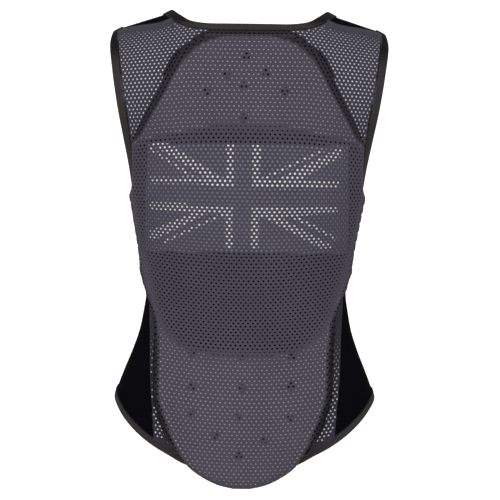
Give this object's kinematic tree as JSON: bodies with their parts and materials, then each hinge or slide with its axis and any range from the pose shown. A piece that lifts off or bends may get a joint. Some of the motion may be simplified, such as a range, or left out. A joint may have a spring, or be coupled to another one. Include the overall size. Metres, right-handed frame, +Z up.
{
  "type": "back protector vest",
  "caption": "Sleeveless stretch vest with a long ventilated foam back pad under perforated mesh, bound neck, armholes and hem, and a front zip.",
  "frame": {"origin": "midway between the two shoulder lines, at the height of the neck opening", "axes": "+Z up the body, -Y out of the back of the wearer, +X to the right of the wearer"},
  "size_m": [0.3682, 0.2541, 0.6298],
  "materials": {
    "mesh_cloth": "perforated stretch mesh",
    "lining_cloth": "soft inner mesh",
    "backing_cloth": "plain knit",
    "grey_foam": "matte foam",
    "black_foam": "matte foam",
    "flag_cloth": "knit with woven white bands",
    "stretch_cloth": "smooth stretch knit",
    "binding_rib": "ribbed knit",
    "zip_tape": "tape and teeth"
  },
  "bodies": {
    "root": {"back_mesh": "mesh_cloth", "back_lining": "lining_cloth", "pad_backing": "backing_cloth", "pad_main": "grey_foam", "pad_centre": "black_foam", "flag_panel": "flag_cloth", "side_panel_right": "stretch_cloth", "side_panel_left": "stretch_cloth", "front_panel_right": "stretch_cloth", "front_panel_left": "stretch_cloth", "front_zip": "zip_tape", "neck_binding": "binding_rib", "armhole_binding_right": "binding_rib", "armhole_binding_left": "binding_rib", "hem_binding": "binding_rib"}
  },
  "joints": []
}
